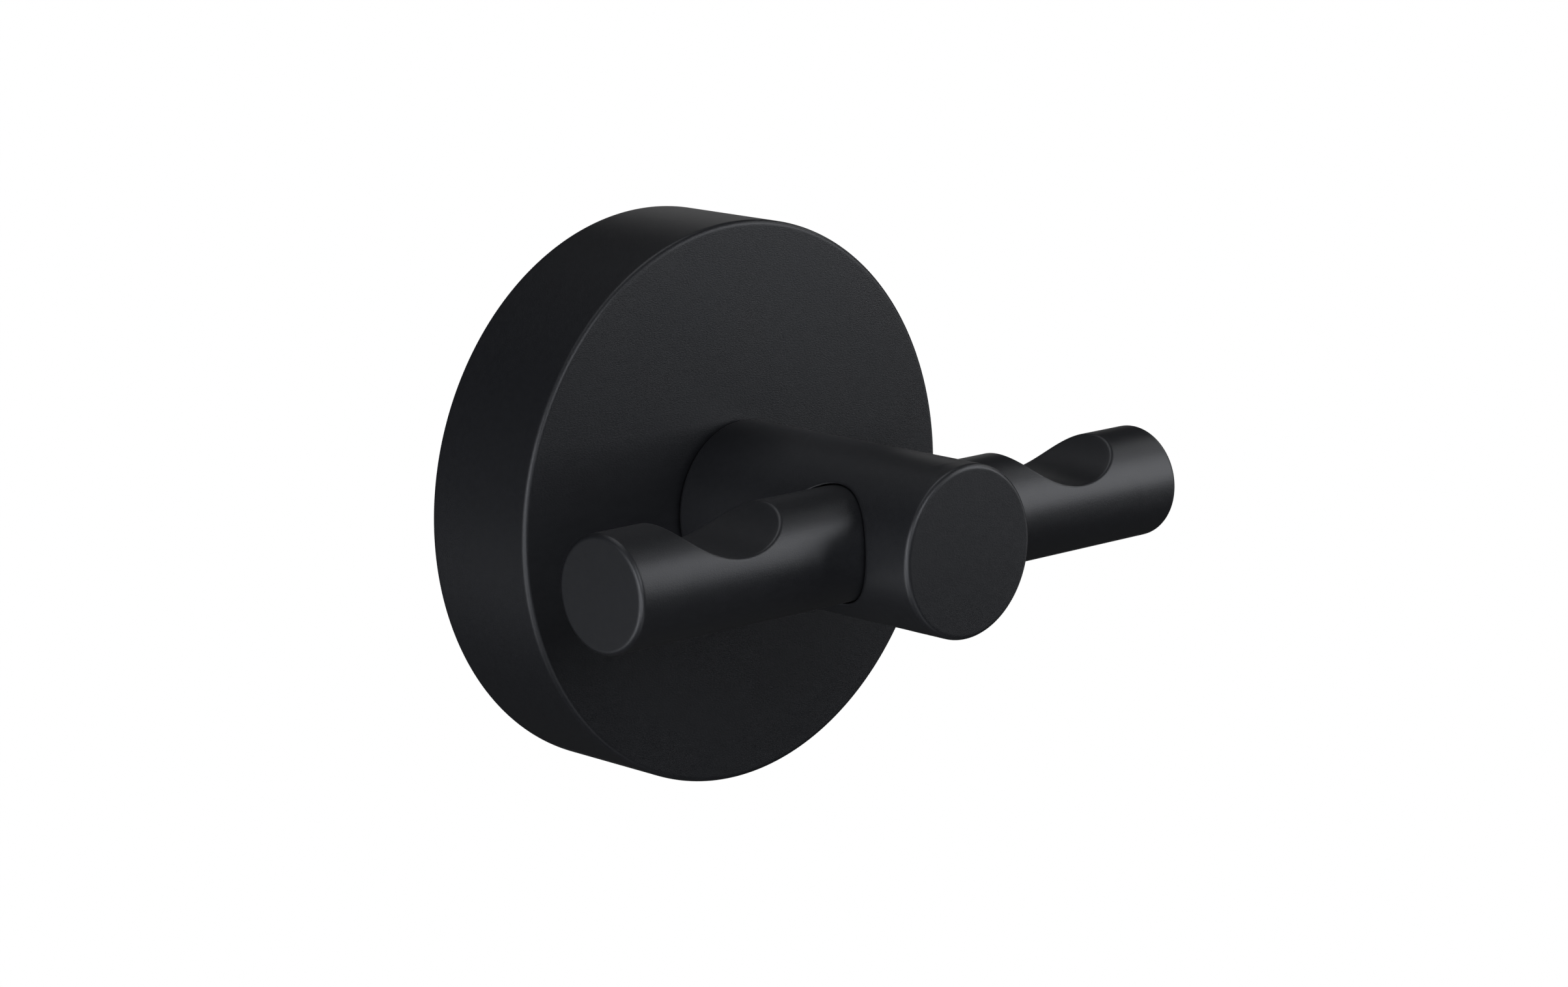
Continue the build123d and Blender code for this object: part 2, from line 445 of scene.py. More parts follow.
# post
def post_sheets():
    """A round post turned about Y with a cross-bore along X, and the double-D spigot at its wall end.

    The tapped hole comes from the spigot's end into the back of the cross-bore. The spigot has twice as many
    columns as the post, so each point of the post's last ring is used twice.
    """
    half_columns = 64
    rows = 48
    window_half = 8.6
    right = Tube((0, 0, 0), (0, -1, 0), (1, 0, 0), post_radius)
    bore = Tube((0, -bar_out, 0), (1, 0, 0), (0, -1, 0), bore_radius)
    angles = np.linspace(-pi / 2, 3 * pi / 2, 2 * half_columns + 1)
    turns = loop_turns(half_columns, rows)
    rim = eased_rim(right.pierced(turns, bore_radius, bar_out), right, bore, rim_round)
    low, high = bar_out - window_half, bar_out + window_half
    side = [window(right, rim[0], low, high, pi / 2, half_columns, rows), rim]
    wall = [between(rim[-1], bore.points(tapped_half, -turns), [0, 0.5, 1])]
    behind = Tube(bore.centre, bore.along, (0, 1, 0), bore_radius)
    tapped_turns = loop_turns(half_columns, half_columns)
    tapped_rim = behind.pierced(tapped_turns, tapped_radius)
    wall.append(window(behind, tapped_rim, -tapped_half, tapped_half, pi / 4, half_columns, half_columns))
    past_back = turns[-rows - 1 :] - 2 * pi
    up_to_back = turns[1 : half_columns + rows + 1]
    bands = np.linspace(-tapped_half, tapped_half, half_columns + 1)[:, None]
    wall.append(bore.points(bands, -np.concatenate([past_back, up_to_back])[None, :]))
    wall.extend(mirrored(wall[:1]))

    foot_out = rose_depth + foot_relief
    back = quarter_round(post_radius, foot_out, edge_round, -1)
    start = [(post_radius, low), (post_radius, foot_out + edge_round + guard)]
    foot = [(foot_relief_radius, foot_out), (foot_relief_radius, rose_depth), (under_post_radius, rose_depth)]
    back = np.concatenate([start, back, foot])
    back = turned(right, back, angles)
    fine = np.linspace(-pi / 2, 3 * pi / 2, 4 * half_columns + 1)
    each_twice = back[-1][np.arange(len(fine)) // 2]
    spigot_radii = double_d(fine + pi / 2, spigot_radius, spigot_half_flats)
    spigot = np.stack([right.points(out, fine, spigot_radii) for out in (rose_depth, spigot_end_out)])
    tapped_end = right.points(spigot_end_out, fine, tapped_radius)
    return [
        *side,
        *mirrored(side),
        *wall,
        turned(right, closed_end(post_radius, high, post_end_out), angles),
        back,
        np.stack([each_twice, spigot[0]]),
        spigot,
        np.stack([spigot[1], tapped_end]),
        np.stack([right.points(spigot_end_out, tapped_turns, tapped_radius), tapped_rim]),
    ]


# crossbar
def crossbar_sheets():
    """A round bar along X with rounded ends and a saddle notch across the top of each arm.

    The rim of a notch is where the notch's own surface meets the bar: the place across is a sine of the turn,
    the height follows from the bar's circle, and the place along from the notch's circle.
    The dimple in the middle of the back is a square cone. At its rim the cone's depth, apex plus radius, is
    the bar's, root of bar radius squared less (radius times sine) squared, solved for the radius.
    """
    columns = 96
    window_columns = 60
    rows = 72
    window_half = 7.4
    bar = Tube((0, -bar_out, 0), (1, 0, 0), (0, 0, 1), bar_radius)
    floor_z = bar_radius - notch_depth
    notch_z = floor_z + notch_radius
    notch = Tube((notch_x, -bar_out, notch_z), (0, -1, 0), (0, 0, -1), notch_radius)
    turns = loop_turns(window_columns, rows)
    across = np.sqrt(bar_radius**2 - floor_z**2) * np.sin(turns)
    height = np.sqrt(bar_radius**2 - across**2)
    along = np.sign(np.cos(turns)) * np.sqrt(np.maximum(notch_radius**2 - (notch_z - height) ** 2, 0))
    corner_rim = np.stack([notch_x + along, -bar_out - across, height], axis=-1)
    rim = eased_rim(corner_rim, bar, notch, notch_rim_round)
    low, high = notch_x - window_half, notch_x + window_half
    rim_across, rim_angle = notch.unroll(rim[-1])
    share = np.linspace(1, 0, 15)[:, None]
    saddle = notch.points(share * rim_across, share * rim_angle)
    half = pi * window_columns / columns
    beneath = np.linspace(half, 2 * pi - half, columns - window_columns + 1)[None, :]
    arm = [
        window(bar, rim[0], low, high, half, window_columns, rows, lines=14),
        rim,
        saddle,
        bar.points(np.linspace(low, high, rows + 1)[:, None], beneath),
    ]
    angles = np.linspace(-pi, pi, columns + 1)
    arm.append(turned(bar, closed_end(bar_radius, high, bar_half_length), angles))
    dimple_columns = 12
    dimple_half = 2.4
    arm.append(bar.points(np.linspace(dimple_half, low, 5)[:, None], angles[None, :]))
    half = pi * dimple_columns / columns
    rest = np.linspace(half - pi / 2, 3 * pi / 2 - half, columns - dimple_columns + 1)[None, :]
    bands = np.linspace(-dimple_half, dimple_half, dimple_columns + 1)[:, None]
    behind = Tube(bar.centre, bar.along, (0, 1, 0), bar_radius)
    turns = loop_turns(dimple_columns, dimple_columns)
    apex = bar_radius - dimple_depth
    squash = 1 + np.sin(turns) ** 2
    radius = (np.sqrt(apex**2 + squash * (bar_radius**2 - apex**2)) - apex) / squash
    rim = behind.pierced(turns, radius)
    middle = [
        bar.points(bands, rest),
        window(behind, rim, -dimple_half, dimple_half, half, dimple_columns, dimple_columns, lines=4),
        between(rim, 0 * rim + [0, apex - bar_out, 0], [0, 0.5, 1]),
    ]
    return [*arm, *mirrored(arm), *middle]


# hook rib and screw boss
def bevel_height(out):
    """Height of a bevelled flat of the bracket at a distance from the wall."""
    return bevel_at_wall + (bevel_at_front - bevel_at_wall) * out / bracket_thickness


def rib_sheets():
    """A five-cornered outline of (out, height) with rounded corners, carried across the rose."""
    corners = [
        (inside_out, bevel_height(inside_out) + hook_gap),
        (bracket_thickness, bevel_at_front + hook_gap),
        (root_out, bevel_at_front + hook_gap),
        (root_out, root_z),
        (inside_out, root_z),
    ]
    loop, normals = outline(corners, cast_round)

    def place(out, height, aside):
        """A point from its distance from the wall, its height and its place from side to side."""
        return np.stack([aside, -out, height], axis=-1)

    return [prism(place, loop, normals, -rib_half_width, rib_half_width, cast_round)]


def boss_sheets():
    """A rounded rectangle of (aside, out) carried upwards round a hole, as rows that go round its section."""
    width = boss_half_width
    corners = [(-width, inside_out), (width, inside_out), (width, root_out), (-width, root_out)]
    loop, normals = outline(corners, 2 * cast_round, steps=6)
    loop, normals = refined(loop, 6), unit(refined(normals, 6))
    hole_centre = np.array([0, screw_hole_out])
    spokes = unit(loop - hole_centre)
    turn = np.linspace(0, pi / 2, 6)[:, None, None]
    size = cast_round
    hole_radius = screw_hole_radius + boss_hole_gap
    rows = [hole_centre + (hole_radius + boss_hole_flare) * spokes, loop - size * normals]
    heights = [boss_z, boss_z]
    rows.extend(loop - size * (1 - np.sin(turn[1:])) * normals)
    heights.extend(boss_z - size * (1 - np.cos(turn[1:, 0, 0])))
    hole = hole_centre + hole_radius * spokes
    rows.extend([loop, hole, hole, rows[0]])
    heights.extend([-root_z, -root_z, boss_z - boss_hole_flare, boss_z])
    flat = np.stack(rows)
    height = np.array(heights)[:, None] + 0 * flat[..., 0]
    return [np.stack([flat[..., 0], -flat[..., 1], height], axis=-1)]


# wall bracket
class Disc:
    """A flat face in polar coordinates: distance from the axis of the rose, and angle from +X."""

    def __init__(self, out):
        self.out = out

    def points(self, along, angle):
        """Points at distances from the axis and angles round it."""
        along, angle = np.broadcast_arrays(along, angle)
        return np.stack([along * np.cos(angle), 0 * along - self.out, along * np.sin(angle)], axis=-1)

    def unroll(self, points):
        """Distance from the axis and angle round it of each point."""
        return np.hypot(points[..., 0], points[..., 2]), np.arctan2(points[..., 2], points[..., 0])


def bracket_sheets():
    """A disc with a leaning flat above and below, a round opening and a recessed screw hole each side.

    The outline's radius at an angle is the smaller of the disc's radius and the flat's height over the sine.
    The columns keep one line on each corner between arc and flat. Half of it is made, and mirrored.
    """
    half = radians(20)
    window_columns, window_rows = 32, 24
    window_low, window_high = 9.2, 19.4
    edge = bracket_edge

    def row_angles(out, inset):
        """Angles of the columns of half a disc, with one at each corner between the arc and a flat."""
        corner = np.arcsin((bevel_height(out) - inset) / (bracket_radius - inset))
        side = np.concatenate([np.linspace(half, corner, 21), np.linspace(corner, pi / 2, 21)[1:]])
        return np.concatenate([-side[::-1], np.linspace(-half, half, window_columns + 1)[1:-1], side])

    def edge_row(out, inset):
        """The outline at a distance from the wall, moved inwards."""
        angles = row_angles(out, inset)
        reach = (bevel_height(out) - inset) / np.maximum(np.abs(np.sin(angles)), tiny)
        return Disc(out).points(np.minimum(bracket_radius - inset, reach), angles)

    turn = np.linspace(0, pi / 2, 6)
    low_edge = [edge_row(edge * (1 - np.sin(t)), edge * (1 - np.cos(t))) for t in turn[::-1]]
    high_edge = [edge_row(bracket_thickness - edge * (1 - np.sin(t)), edge * (1 - np.cos(t))) for t in turn]
    wall = np.stack(low_edge + high_edge)
    sheets = [wall]
    for out, rim in ((0.0, wall[0]), (bracket_thickness, wall[-1])):
        face = Disc(out)
        reach, angles = face.unroll(rim)
        start = bracket_opening + edge
        share_low = (window_low - start) / (bracket_radius - edge - start)
        share_high = (window_high - start) / (bracket_radius - edge - start)
        shares = np.concatenate([[0], np.linspace(share_low, share_high, window_rows + 1), [1]])[:, None]
        grid = face.points(start + shares * (reach - start), angles)
        sides = (len(angles) - window_columns - 1) // 2
        sheets.extend([grid[:2], grid[-2:], grid[1:-1, : sides + 1], grid[1:-1, -sides - 1 :]])
        hole = bracket_hole_radius if out == 0 else bracket_head_radius
        turns = loop_turns(window_columns, window_rows)
        loop = np.stack([np.cos(turns), 0 * turns, np.sin(turns)], axis=-1) * (hole + edge / 2)
        loop += np.array([bracket_hole_x, -out, 0])
        sheets.append(window(face, loop, window_low, window_high, half, window_columns, window_rows))
    axis = Tube((bracket_hole_x, 0, 0), (0, -1, 0), (1, 0, 0), bracket_hole_radius)
    shoulder = bracket_thickness - bracket_head_depth
    rim = np.stack([1 - np.sin(turn), 1 - np.cos(turn)], axis=-1)
    wall_side = [bracket_hole_radius, 0] + edge / 2 * rim
    room_side = ([bracket_head_radius, bracket_thickness] + edge / 2 * rim * [1, -1])[::-1]
    steps = [(bracket_hole_radius, shoulder), (bracket_head_radius, shoulder)]
    sheets.append(turned(axis, np.concatenate([wall_side, steps, room_side]), turns))
    radii = bracket_opening + edge * rim[:, :1]
    rise = edge * rim[:, 1:, None] * [0, 1, 0]
    wall_side = Disc(0).points(radii, row_angles(0, edge)) - rise
    room_side = Disc(bracket_thickness).points(radii, row_angles(bracket_thickness, edge)) + rise
    sheets.append(np.concatenate([wall_side, room_side[::-1]]))
    return [*sheets, *mirrored(sheets)]


# screws
def thread(along, angle, pitch):
    """Share of the full thread: a crest an eighth of the pitch wide, straight flanks, a flat root."""
    part = (along / pitch - angle / (2 * pi)) % 1
    return np.clip((0.75 - 2 * np.abs(part - 0.5)) / 0.625, 0, 1)


def threaded(tube, low, high, angles, size, start_cone, end_cone):
    """A screw thread: root radius plus the thread's share of its depth, cut off by a cone at each end.

    Each cone grows from its own radius at the end by the distance from it.
    """
    rows = int((high - low) / size["pitch"] * rows_per_pitch)
    along = np.linspace(low, high, rows + 1)[:, None]
    radius = size["radius"] - size["depth"] * (1 - thread(along, angles[None, :], size["pitch"]))
    radius = np.minimum(radius, np.minimum(start_cone + along - low, end_cone + high - along))
    return tube.points(along, angles[None, :], radius)


def hexagon(angles, across):
    """Radius of a hexagon: half its width over the cosine of the angle from the middle of a side."""
    return across / 2 / np.cos((angles + pi / 6) % (pi / 3) - pi / 6)


def set_screw_sheets(tube, length, size, socket, socket_depth):
    """A thread with a cone point at its start, and a hexagon socket with a drilled bottom at its end."""
    angles = np.linspace(0, 2 * pi, screw_columns + 1)
    end_radius = size["radius"] - screw_end_chamfer
    shank = threaded(tube, 0, length, angles, size, point_radius, end_radius)
    corner = hexagon(angles, socket)
    flare = socket / 2 / cos(pi / 6) + socket_flare
    floor = length - socket_depth
    rows = [
        (length, np.full_like(angles, end_radius)),
        (length, np.full_like(angles, flare)),
        (length - socket_flare, corner),
        (floor, corner),
        (floor - 0.02, corner - 0.05),
        (floor - drill_point, 0 * corner),
    ]
    hollow = np.stack([tube.points(along, angles, radius) for along, radius in rows])
    tip = np.stack([tube.points(0.0, angles, 0 * angles), shank[0]])
    return [tip, shank, np.stack([shank[-1], hollow[0]]), hollow]


def cross(span, width):
    """Outline of a recess of two crossed arms: one arm's points, turned by a quarter four times."""
    tip, inner = span / 2, width / 2
    middle = inner + (tip - inner) / 2
    arm = np.array([(tip, -inner), (tip, 0), (tip, inner), (middle, inner), (inner, inner), (inner, middle)])
    quarter = np.array([[0, 1], [-1, 0]])
    points = np.concatenate([arm @ np.linalg.matrix_power(quarter, turns) for turns in range(4)])
    return np.concatenate([points, points[:1]])


def post_screw_sheets():
    """A pan-head screw turned about Y: threaded shank, head with a large round, cross recess that narrows."""
    head_out = -screw_high[1]
    under_out = -spring_high[1]
    end_out = -screw_low[1]
    tube = Tube((0, 0, 0), (0, -1, 0), (1, 0, 0), pan_head_radius)
    top = cross(cross_span, cross_width)
    coarse = np.unwrap(np.arctan2(top[:, 1], top[:, 0]))
    angles = refined(np.stack([coarse, coarse], axis=-1), 4)[:, 0]

    def recess_row(depth):
        """The recess at a depth: each size narrows by twice the depth times the taper's tangent."""
        narrower = 2 * tan(radians(cross_taper)) * depth
        loop = refined(cross(cross_span - narrower, max(cross_width - narrower, cross_least_width)), 4)
        spots = loop[:, :1] * tube.zero + loop[:, 1:] * tube.side
        return spots + (head_out + depth) * tube.along

    root = m5["radius"] - m5["depth"]
    dome = quarter_round(pan_head_radius, head_out, pan_head_round, -1)
    edge_out = under_out - pan_head_edge
    under = [(root, under_out), (pan_head_radius - pan_head_edge, under_out), (pan_head_radius, edge_out)]
    head = turned(tube, np.concatenate([under, dome]), angles)
    depths = (0, cross_edge, cross_depth / 2, cross_depth - cross_edge, cross_depth)
    recess = np.stack([recess_row(depth) for depth in depths])
    bottom = np.broadcast_to(tube.points(head_out + cross_depth + cross_edge, 0.0, 0.0), recess[-1:].shape)
    shank = threaded(tube, under_out, end_out, angles, m5, root, m5["radius"] - screw_end_chamfer)
    end = tube.points(end_out, angles, 0 * angles)
    return [
        head,
        np.stack([head[-1], recess[0]]),
        np.concatenate([recess, bottom]),
        shank,
        np.stack([shank[-1], end]),
    ]


# washers
def washer_section(inner, outer, low, high, size):
    """The section of a washer, as (radius, out) points round a rectangle with rounded corners."""
    corners = [(inner, low), (outer, low), (outer, high), (inner, high)]
    return outline(corners, size, steps=5)[0]


def washer_sheets():
    """A flat ring turned about Y from its rounded section."""
    tube = Tube((0, 0, 0), (0, -1, 0), (1, 0, 0), washer_high[0])
    section = washer_section(washer_hole, washer_high[0], -washer_high[1], -washer_low[1], washer_round)
    return [turned(tube, section, np.linspace(0, 2 * pi, ring_columns + 1))]


def spring_sheets():
    """A ring's section carried round from one side of a slanted cut to the other, and closed at both ends.

    Each face of the cut lies at the angle whose sine is the face's height there over the radius.
    """
    tube = Tube((0, 0, 0), (0, -1, 0), (1, 0, 0), spring_high[0])
    low, high = -spring_high[1], -spring_low[1]
    section = washer_section(spring_hole, spring_high[0], low, high, spring_round)
    middle = section[:-1].mean(axis=0)
    section = np.stack([middle + 0 * section, *[section] * (ring_columns + 1), middle + 0 * section])
    radius, out = section[..., 0], section[..., 1]
    upper = spring_split * (out - low) / (high - low)
    share = np.concatenate([[0], np.linspace(0, 1, ring_columns + 1), [1]])[:, None]
    start = np.arcsin(upper / radius)
    end = 2 * pi + np.arcsin((upper - spring_split) / radius)
    return [tube.points(out, start + share * (end - start), radius)]


# effects that several finishes share
def effect(name, outputs):
    """An empty shader node group: a vector and a count per metre go in, and named values come out."""
    group = bpy.data.node_groups.new(name, "ShaderNodeTree")
    group.interface.new_socket(name="Vector", in_out="INPUT", socket_type="NodeSocketVector")
    group.interface.new_socket(name="Per metre", in_out="INPUT", socket_type="NodeSocketFloat")
    for label in outputs:
        group.interface.new_socket(name=label, in_out="OUTPUT", socket_type="NodeSocketFloat")
    return group, group.nodes.new("NodeGroupInput"), group.nodes.new("NodeGroupOutput")


def feed(tree, value, socket):
    """A number is set on the socket, and another node's output is linked to it."""
    if isinstance(value, (int, float)):
        socket.default_value = value
    else:
        tree.links.new(value, socket)


def math_node(tree, operation, first, second):
    """The result of one sum on two outputs or numbers."""
    node = tree.nodes.new("ShaderNodeMath")
    node.operation = operation
    feed(tree, first, node.inputs[0])
    feed(tree, second, node.inputs[1])
    return node.outputs["Value"]


def noise(tree, vector, scale, detail, roughness, distortion=0.0):
    """Height of a noise pattern at a vector."""
    node = tree.nodes.new("ShaderNodeTexNoise")
    tree.links.new(vector, node.inputs["Vector"])
    feed(tree, scale, node.inputs["Scale"])
    node.inputs["Detail"].default_value = detail
    node.inputs["Roughness"].default_value = roughness
    node.inputs["Distortion"].default_value = distortion
    return node.outputs["Fac"]


def stretched(tree, value, low, high, new_low=0.0, new_high=1.0):
    """A value carried smoothly from one range to another, and kept inside the new one."""
    node = tree.nodes.new("ShaderNodeMapRange")
    node.interpolation_type = "SMOOTHSTEP"
    tree.links.new(value, node.inputs["Value"])
    for label, number in (("From Min", low), ("From Max", high), ("To Min", new_low), ("To Max", new_high)):
        node.inputs[label].default_value = number
    return node.outputs["Result"]


def coat_grain():
    """Grain of baked powder: fine lumps, run together here and there.

    Height is the fine pattern. Mottle is a pattern six times as wide.
    """
    group, given, result = effect("coat_grain", ["Height", "Mottle"])
    fine = noise(group, given.outputs["Vector"], given.outputs["Per metre"], 2.0, 0.5, 0.2)
    wide_scale = math_node(group, "MULTIPLY", given.outputs["Per metre"], 0.17)
    wide = noise(group, given.outputs["Vector"], wide_scale, 2.0, 0.5)
    group.links.new(stretched(group, fine, 0.3, 0.7), result.inputs["Height"])
    group.links.new(stretched(group, wide, 0.3, 0.7), result.inputs["Mottle"])
    return group


def turning_rings():
    """Rings left by turning about the Y axis: a sine of the distance from the axis, broken up by noise."""
    group, given, result = effect("turning_rings", ["Height", "Streaks"])
    flat = group.nodes.new("ShaderNodeVectorMath")
    flat.operation = "MULTIPLY"
    flat.inputs[1].default_value = (1, 0, 1)
    group.links.new(given.outputs["Vector"], flat.inputs[0])
    length = group.nodes.new("ShaderNodeVectorMath")
    length.operation = "LENGTH"
    group.links.new(flat.outputs["Vector"], length.inputs[0])
    turns = math_node(group, "MULTIPLY", length.outputs["Value"], given.outputs["Per metre"])
    wander = noise(group, given.outputs["Vector"], 900.0, 2.0, 0.5)
    turns = math_node(group, "ADD", turns, math_node(group, "MULTIPLY", wander, 9.0))
    wave = math_node(group, "SINE", turns, 0.0)
    group.links.new(stretched(group, wave, -1.0, 1.0), result.inputs["Height"])
    group.links.new(stretched(group, wander, 0.35, 0.65), result.inputs["Streaks"])
    return group


def cast_skin():
    """The skin of a pressure casting: soft flow marks, fine roughness and a few small pits."""
    group, given, result = effect("cast_skin", ["Height", "Flow"])
    fine = noise(group, given.outputs["Vector"], given.outputs["Per metre"], 4.0, 0.6)
    flow = noise(group, given.outputs["Vector"], 420.0, 5.0, 0.65, 0.6)
    specks = noise(group, given.outputs["Vector"], 1100.0, 1.0, 0.4)
    pits = stretched(group, specks, 0.68, 0.76)
    height = math_node(group, "SUBTRACT", math_node(group, "MULTIPLY", fine, 0.4), pits)
    group.links.new(height, result.inputs["Height"])
    group.links.new(stretched(group, flow, 0.3, 0.7), result.inputs["Flow"])
    return group


# materials
class Finish:
    """A node material: its shader, its object coordinates, and ways to add an effect, a mix and a bump."""

    def __init__(self, name, roughness, metallic=0.0):
        self.material = bpy.data.materials.new(name)
        self.material.use_nodes = True
        self.tree = self.material.node_tree
        self.shader = self.tree.nodes["Principled BSDF"]
        self.shader.inputs["Roughness"].default_value = roughness
        self.shader.inputs["Metallic"].default_value = metallic
        self.place = self.tree.nodes.new("ShaderNodeTexCoord").outputs["Object"]

    def scaled(self, scale):
        """Object coordinates drawn out along the axes whose scale is below one."""
        node = self.tree.nodes.new("ShaderNodeMapping")
        node.inputs["Scale"].default_value = scale
        self.tree.links.new(self.place, node.inputs["Vector"])
        return node.outputs["Vector"]

    def add(self, group, per_metre, vector=None):
        """One of the shared effects, with its own count per metre."""
        node = self.tree.nodes.new("ShaderNodeGroup")
        node.node_tree = group
        self.tree.links.new(vector or self.place, node.inputs["Vector"])
        node.inputs["Per metre"].default_value = per_metre
        return node.outputs

    def colour(self, mask, first, second):
        """Base colour between two colours by a mask."""
        node = self.tree.nodes.new("ShaderNodeMix")
        node.data_type = "RGBA"
        self.tree.links.new(mask, node.inputs["Factor"])
        node.inputs["A"].default_value = (*first, 1)
        node.inputs["B"].default_value = (*second, 1)
        self.tree.links.new(node.outputs["Result"], self.shader.inputs["Base Color"])

    def roughness(self, mask, low, high):
        """Roughness between two values by a mask."""
        self.tree.links.new(stretched(self.tree, mask, 0.0, 1.0, low, high), self.shader.inputs["Roughness"])

    def bump(self, height, depth_mm):
        """A bump of the given depth in millimetres."""
        node = self.tree.nodes.new("ShaderNodeBump")
        node.inputs["Distance"].default_value = depth_mm * MM
        self.tree.links.new(height, node.inputs["Height"])
        self.tree.links.new(node.outputs["Normal"], self.shader.inputs["Normal"])


grain = coat_grain()
rings = turning_rings()
skin = cast_skin()


def powder_coat(name, stretch, depth, specular):
    """Satin-matt black powder coat: near-black with a blue cast, fine grain, mottled colour and roughness."""
    roughness = 0.42
    finish = Finish(name, roughness)
    finish.shader.inputs["Specular IOR Level"].default_value = specular
    finish.shader.inputs["Specular Tint"].default_value = (0.91, 0.935, 1.0, 1)
    given = finish.add(grain, 12000.0, finish.scaled(stretch))
    finish.colour(given["Mottle"], (0.0052, 0.0056, 0.0070), (0.0061, 0.0066, 0.0081))
    finish.roughness(given["Mottle"], roughness - 0.004, roughness + 0.004)
    finish.bump(given["Height"], depth)
    return finish.material


rose_coat = powder_coat("black_powder_coat_grained", (0.35, 1.0, 1.0), 0.0044, 0.41)
post_coat = powder_coat("black_powder_coat_satin", (0.6, 1.0, 1.0), 0.0026, 0.5)


def metal(name, group, per_metre, masks, colours, roughness, depth):
    """A bare metal whose effect gives its height, and the masks of its colour and of its roughness."""
    finish = Finish(name, sum(roughness) / 2, metallic=1.0)
    given = finish.add(group, per_metre)
    finish.colour(given[masks[0]], *colours)
    finish.roughness(given[masks[1]], *roughness)
    finish.bump(given["Height"], depth)
    return finish.material


# mid grey zinc with flow marks and small pits
zinc_greys = ((0.44, 0.45, 0.47), (0.50, 0.51, 0.52))
zinc_casting = metal("zinc_casting", skin, 2500.0, ("Flow", "Flow"), zinc_greys, (0.46, 0.54), 0.015)
# bright plating with turning rings and a slight yellow and blue cast
plating = ((0.55, 0.55, 0.52), (0.60, 0.61, 0.63))
zinc_plated = metal("zinc_plated_steel", rings, 26000.0, ("Streaks", "Height"), plating, (0.24, 0.36), 0.002)
# blackened steel with a fine dull grain and slightly browner patches
oxide_blacks = ((0.035, 0.035, 0.037), (0.055, 0.05, 0.047))
oxide = metal("black_oxide_steel", grain, 9000.0, ("Mottle", "Mottle"), oxide_blacks, (0.32, 0.44), 0.003)


# pieces
set_screw = Tube((0, -screw_hole_out, set_screw_high[2]), (0, 0, -1), (1, 0, 0), m4["radius"])
set_screw_length = set_screw_high[2] - set_screw_low[2]
lock_screw = Tube((0, lock_screw_low[1], 0), (0, 1, 0), (1, 0, 0), m5["radius"])
lock_screw_length = lock_screw_high[1] - lock_screw_low[1]

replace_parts(piece("rose_cup", rose_sheets(), rose_coat), "rose")
piece("rose_hook_rib", rib_sheets(), rose_coat)
piece("rose_screw_boss", boss_sheets(), rose_coat)
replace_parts(piece("post_turned", post_sheets(), post_coat), "post")
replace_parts(piece("crossbar_notched", crossbar_sheets(), post_coat), "crossbar")
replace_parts(piece("bracket_casting", bracket_sheets(), zinc_casting), "wall_bracket")
sheets = set_screw_sheets(set_screw, set_screw_length, m4, rose_socket, rose_socket_depth)
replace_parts(piece("rose_set_screw_threaded", sheets, oxide), "rose_set_screw")
sheets = set_screw_sheets(lock_screw, lock_screw_length, m5, lock_socket, lock_socket_depth)
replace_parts(piece("bar_lock_screw_threaded", sheets, zinc_plated), "bar_lock_screw")
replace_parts(piece("post_screw_threaded", post_screw_sheets(), zinc_plated), "post_screw")
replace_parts(piece("post_washer_turned", washer_sheets(), zinc_plated), "post_washer")
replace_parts(piece("spring_washer_split", spring_sheets(), zinc_plated), "spring_washer")


# camera, as the photograph was taken
picture_width = 2408
focal_length_px = 6731.06
camera_turn = -44.439
camera_lift = 11.947
camera_roll = 0.0165
camera_distance = 394.23
camera_aside = 12.355
camera_above = -0.9475
sensor_width = 36.0


def towards(azimuth, elevation):
    """Direction from the hook at an azimuth, 0 ahead and 90 to the right, and a height above the level."""
    turn, lift = radians(azimuth), radians(elevation)
    return Vector((sin(turn) * cos(lift), -cos(turn) * cos(lift), sin(lift)))


def add_camera():
    """A camera whose picture has the photograph's place, direction and focal length."""
    roll = radians(camera_roll)
    back = towards(camera_turn, camera_lift)
    level = Vector((0, 0, 1)).cross(back).normalized()
    upright = back.cross(level)
    right = cos(roll) * level + sin(roll) * upright
    up = cos(roll) * upright - sin(roll) * level
    place = back * camera_distance + right * camera_aside + up * camera_above
    data = bpy.data.cameras.new("camera")
    data.sensor_fit = "HORIZONTAL"
    data.sensor_width = sensor_width
    data.lens = sensor_width * focal_length_px / picture_width
    data.clip_start = 0.01
    camera = bpy.data.objects.new("camera", data)
    bpy.context.scene.collection.objects.link(camera)
    camera.matrix_world = Matrix.Translation(place * MM) @ Matrix((right, up, back)).transposed().to_4x4()
    bpy.context.scene.camera = camera


add_camera()


# light
def soft_light(name, azimuth, elevation, distance, width, height, power):
    """An area lamp at a distance in millimetres from the middle of the hook, turned to it and unseen."""
    data = bpy.data.lights.new(name, "AREA")
    data.shape = "RECTANGLE"
    data.size = width * MM
    data.size_y = height * MM
    data.energy = power
    lamp = bpy.data.objects.new(name, data)
    bpy.context.scene.collection.objects.link(lamp)
    direction = towards(azimuth, elevation)
    lamp.location = (Vector((0, -20, 0)) + distance * direction) * MM
    lamp.rotation_mode = "QUATERNION"
    lamp.rotation_quaternion = (-direction).to_track_quat("-Z", "Y")
    lamp.visible_camera = False


